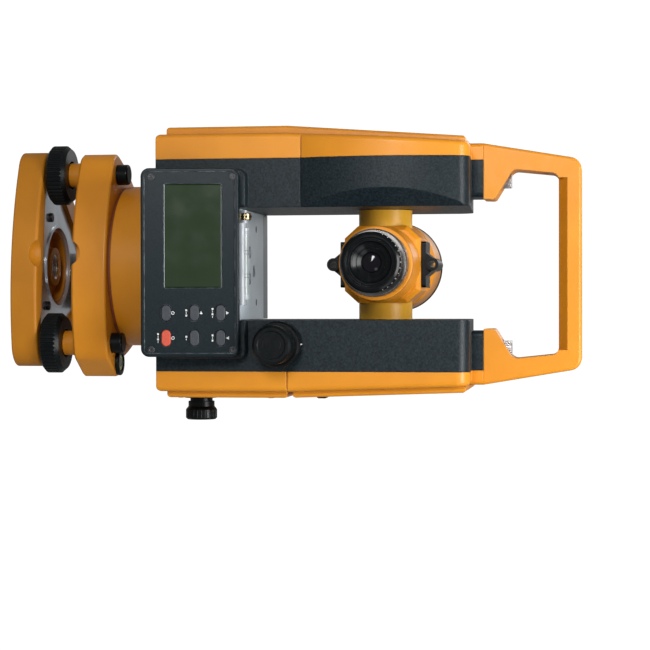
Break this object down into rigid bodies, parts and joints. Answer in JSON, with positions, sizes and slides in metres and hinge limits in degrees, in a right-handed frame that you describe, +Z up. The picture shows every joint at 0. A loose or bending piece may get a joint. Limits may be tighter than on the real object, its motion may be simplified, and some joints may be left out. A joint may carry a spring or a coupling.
{
  "type": "electronic theodolite",
  "caption": "Surveying theodolite on a three-screw tribrach: two standards carry a tilting telescope under a carrying handle, with a display, keys, clamps and an optical plummet.",
  "frame": {"origin": "centre of the tripod thread in the underside of the base plate", "axes": "+Z up along the vertical axis, -Y towards the operator (eyepiece and display side), +X to the operator's right along the telescope's tilting axis"},
  "size_m": [0.1794, 0.1596, 0.3442],
  "materials": {
    "orange_paint": "semi-gloss orange-yellow paint",
    "black_plastic": "finely textured black",
    "polished_steel": "polished spring steel",
    "steel": "turned steel",
    "brass": "turned brass",
    "black_screws": "blackened steel",
    "grey_metal": "light grey cast and milled alloy",
    "dark_metal": "grey paint",
    "clear_glass": "clear glass",
    "lcd_window": "clear window over a grey-green display",
    "green_board": "circuit board",
    "grey_keys": "dark grey key caps",
    "red_key": "red key cap"
  },
  "bodies": {
    "base": {"base_plate": "orange_paint", "spring_plate": "polished_steel", "spring_plate_screws": "black_screws"},
    "foot_screw_left": {"foot_screw_left_spindle": "steel", "foot_screw_left_knob": "black_plastic"},
    "foot_screw_right": {"foot_screw_right_spindle": "steel", "foot_screw_right_knob": "black_plastic"},
    "foot_screw_rear": {"foot_screw_rear_spindle": "steel", "foot_screw_rear_knob": "black_plastic"},
    "tribrach": {"tribrach_body": "orange_paint", "foot_screw_bushes": "brass", "foot_screw_caps": "black_plastic", "circular_level_cup": "black_plastic", "circular_level_vial": "clear_glass", "lower_drum": "orange_paint", "axis_bush": "brass", "horizontal_circle": "clear_glass"},
    "lock_lever": {"lock_lever": "black_plastic"},
    "alidade": {"alidade_base": "grey_metal", "vertical_spindle": "steel", "u_frame": "grey_metal", "left_standard_shell": "black_plastic", "right_standard_shell": "black_plastic", "left_side_cover": "orange_paint", "right_side_cover": "orange_paint", "left_side_panel": "orange_paint", "right_side_panel": "orange_paint", "deck_plate": "grey_metal", "deck_screws": "black_screws", "plate_level_holder": "grey_metal", "plate_level_vial": "clear_glass", "display_housing": "black_plastic", "display_glass": "lcd_window", "circuit_board": "green_board", "display_screws": "black_screws", "rear_cover": "dark_metal", "trunnion_bearings": "steel", "plummet_flange": "black_plastic", "handle": "orange_paint"},
    "battery": {"battery_box": "orange_paint"},
    "handle_screw_left": {"handle_screw_left": "steel"},
    "handle_screw_right": {"handle_screw_right": "steel"},
    "plummet_ring": {"plummet_focus_ring": "black_plastic"},
    "vertical_clamp": {"vertical_clamp_ring": "black_plastic"},
    "vertical_tangent": {"vertical_tangent_knob": "black_plastic"},
    "horizontal_clamp": {"horizontal_clamp_ring": "black_plastic"},
    "horizontal_tangent": {"horizontal_tangent_knob": "black_plastic"},
    "telescope": {"telescope_body": "orange_paint", "vertical_circle": "clear_glass", "objective_lens": "clear_glass", "optical_sights": "black_plastic"},
    "focusing": {"focusing_ring": "steel"},
    "eyepiece": {"eyepiece_ring": "black_plastic", "eyepiece_lens": "clear_glass"},
    "key_lower_left": {"key_lower_left": "grey_keys"},
    "key_lower_right": {"key_lower_right": "red_key"},
    "key_middle_left": {"key_middle_left": "grey_keys"},
    "key_middle_right": {"key_middle_right": "grey_keys"},
    "key_upper_left": {"key_upper_left": "grey_keys"},
    "key_upper_right": {"key_upper_right": "grey_keys"}
  },
  "joints": [
    {"name": "tribrach_lift", "type": "slide", "parent": "base", "child": "tribrach", "axis": [0, 0, 1], "range_m": [-0.003, 0.003]},
    {"name": "foot_screw_left_turn", "type": "hinge", "parent": "base", "child": "foot_screw_left", "pos_m": [-0.05609, -0.02266, 0.0192], "axis": [0, 0, 1], "range_deg": [-1085, 1085]},
    {"name": "foot_screw_right_turn", "type": "hinge", "parent": "base", "child": "foot_screw_right", "pos_m": [0.04768, -0.03725, 0.0192], "axis": [0, 0, 1], "range_deg": [-1085, 1085]},
    {"name": "foot_screw_rear_turn", "type": "hinge", "parent": "base", "child": "foot_screw_rear", "pos_m": [0.00842, 0.05991, 0.0192], "axis": [0, 0, 1], "range_deg": [-1085, 1085]},
    {"name": "lock_lever_turn", "type": "hinge", "parent": "tribrach", "child": "lock_lever", "pos_m": [-0.04137, 0.03232, 0.0492], "axis": [-0.788, 0.6157, 0], "range_deg": [0, 180]},
    {"name": "alidade_turn", "type": "hinge", "parent": "tribrach", "child": "alidade", "pos_m": [0, 0, 0.0892], "axis": [0, 0, 1], "continuous": true},
    {"name": "telescope_tilt", "type": "hinge", "parent": "alidade", "child": "telescope", "pos_m": [0, 0, 0.2239], "axis": [1, 0, 0], "continuous": true},
    {"name": "focusing_ring_turn", "type": "hinge", "parent": "telescope", "child": "focusing", "pos_m": [0, -0.057, 0.2239], "axis": [0, 1, 0], "range_deg": [-150, 150]},
    {"name": "eyepiece_ring_turn", "type": "hinge", "parent": "telescope", "child": "eyepiece", "pos_m": [0, -0.07, 0.2239], "axis": [0, 1, 0], "range_deg": [-135, 135]},
    {"name": "vertical_clamp_turn", "type": "hinge", "parent": "alidade", "child": "vertical_clamp", "pos_m": [0.048, -0.056, 0.166], "axis": [0, 1, 0], "range_deg": [0, 60]},
    {"name": "vertical_tangent_turn", "type": "hinge", "parent": "alidade", "child": "vertical_tangent", "pos_m": [0.048, -0.07, 0.166], "axis": [0, 1, 0], "range_deg": [-1800, 1800]},
    {"name": "horizontal_clamp_turn", "type": "hinge", "parent": "alidade", "child": "horizontal_clamp", "pos_m": [-0.048, 0.056, 0.1142], "axis": [0, 1, 0], "range_deg": [-60, 0]},
    {"name": "horizontal_tangent_turn", "type": "hinge", "parent": "alidade", "child": "horizontal_tangent", "pos_m": [-0.048, 0.07, 0.1142], "axis": [0, 1, 0], "range_deg": [-1800, 1800]},
    {"name": "plummet_ring_turn", "type": "hinge", "parent": "alidade", "child": "plummet_ring", "pos_m": [0.09, 0, 0.1072], "axis": [1, 0, 0], "range_deg": [-120, 120]},
    {"name": "battery_slide", "type": "slide", "parent": "alidade", "child": "battery", "axis": [1, 0, 0], "range_m": [0, 0.025]},
    {"name": "handle_screw_left_turn", "type": "hinge", "parent": "alidade", "child": "handle_screw_left", "pos_m": [-0.051, 0, 0.2942], "axis": [0, 0, 1], "range_deg": [0, 1080]},
    {"name": "handle_screw_right_turn", "type": "hinge", "parent": "alidade", "child": "handle_screw_right", "pos_m": [0.051, 0, 0.2942], "axis": [0, 0, 1], "range_deg": [0, 1080]},
    {"name": "key_lower_left_press", "type": "slide", "parent": "alidade", "child": "key_lower_left", "axis": [0, 0.9927, -0.1208], "range_m": [0, 0.0008], "stiffness_N_per_m": 300, "springref_m": -0.001},
    {"name": "key_lower_right_press", "type": "slide", "parent": "alidade", "child": "key_lower_right", "axis": [0, 0.9927, -0.1208], "range_m": [0, 0.0008], "stiffness_N_per_m": 300, "springref_m": -0.001},
    {"name": "key_middle_left_press", "type": "slide", "parent": "alidade", "child": "key_middle_left", "axis": [0, 0.9927, -0.1208], "range_m": [0, 0.0008], "stiffness_N_per_m": 300, "springref_m": -0.001},
    {"name": "key_middle_right_press", "type": "slide", "parent": "alidade", "child": "key_middle_right", "axis": [0, 0.9927, -0.1208], "range_m": [0, 0.0008], "stiffness_N_per_m": 300, "springref_m": -0.001},
    {"name": "key_upper_left_press", "type": "slide", "parent": "alidade", "child": "key_upper_left", "axis": [0, 0.9927, -0.1208], "range_m": [0, 0.0008], "stiffness_N_per_m": 300, "springref_m": -0.001},
    {"name": "key_upper_right_press", "type": "slide", "parent": "alidade", "child": "key_upper_right", "axis": [0, 0.9927, -0.1208], "range_m": [0, 0.0008], "stiffness_N_per_m": 300, "springref_m": -0.001}
  ],
  "couplings": [
    {"joint": "foot_screw_left_turn", "follows": "tribrach_lift", "rad_per_m": -6283.2},
    {"joint": "foot_screw_right_turn", "follows": "tribrach_lift", "rad_per_m": -6283.2},
    {"joint": "foot_screw_rear_turn", "follows": "tribrach_lift", "rad_per_m": -6283.2}
  ]
}
